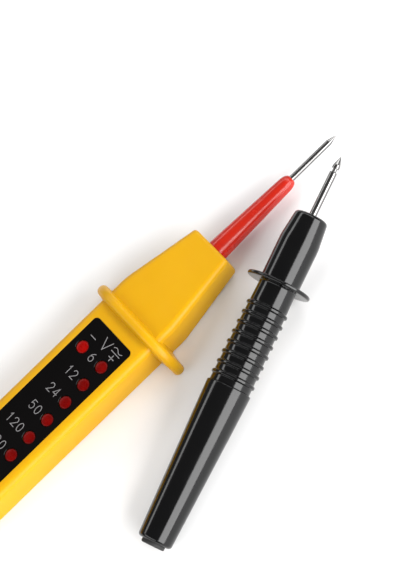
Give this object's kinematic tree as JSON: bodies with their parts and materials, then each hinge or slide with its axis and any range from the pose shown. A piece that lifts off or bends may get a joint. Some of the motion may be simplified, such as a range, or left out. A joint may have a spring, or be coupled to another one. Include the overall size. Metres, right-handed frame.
{
  "type": "two-pole voltage tester",
  "caption": "Two-pole LED voltage tester: a flat-backed hand unit with finger guard, lamp panel and fixed test pin, and a separate round ribbed probe.",
  "frame": {"origin": "on the flat back of the hand unit, on its centre line, where the finger guard crosses it", "axes": "+Y along the hand unit towards its pin's tip, +X to the right seen from the front, +Z out of the lamp panel"},
  "size_m": [0.0799, 0.1654, 0.0204],
  "materials": {
    "yellow_plastic": "satin moulded plastic, deep yellow",
    "panel_black": "gloss black label plate with thin grey print",
    "red_lens": "diffused red LED resin, unlit",
    "board_green": "solder-masked glass-fibre board",
    "resistor_body": "lacquered resistor body",
    "diode_black": "moulded epoxy",
    "zener_glass": "orange glass diode body",
    "screw_steel": "zinc-plated steel",
    "red_plastic": "glossy red insulating sleeve",
    "nickel_pin": "bright nickel-plated pin",
    "brass": "bare brass",
    "black_rubber": "matt black rubber",
    "black_plastic": "glossy black moulded plastic"
  },
  "bodies": {
    "tester": {"front_housing": "yellow_plastic", "rear_cover": "yellow_plastic", "label_panel": "panel_black", "polarity_leds": "red_lens", "voltage_leds": "red_lens", "circuit_board": "board_green", "dropper_resistors": "resistor_body", "rectifier_diodes": "diode_black", "zener_diodes": "zener_glass", "limiter_transistors": "diode_black", "cover_screws": "screw_steel", "board_screws": "screw_steel", "probe_sleeve": "red_plastic", "tester_pin": "nickel_pin", "pin_terminal": "brass", "lead_gland": "black_rubber"},
    "probe": {"probe_handle": "black_plastic", "probe_tail": "black_plastic", "probe_pin": "nickel_pin", "pin_socket": "brass", "probe_lead_bush": "black_rubber"}
  },
  "joints": [
    {"name": "probe_lift", "type": "slide", "parent": "tester", "child": "probe", "axis": [0, 0, 1], "range_m": [0, 0.06]}
  ]
}
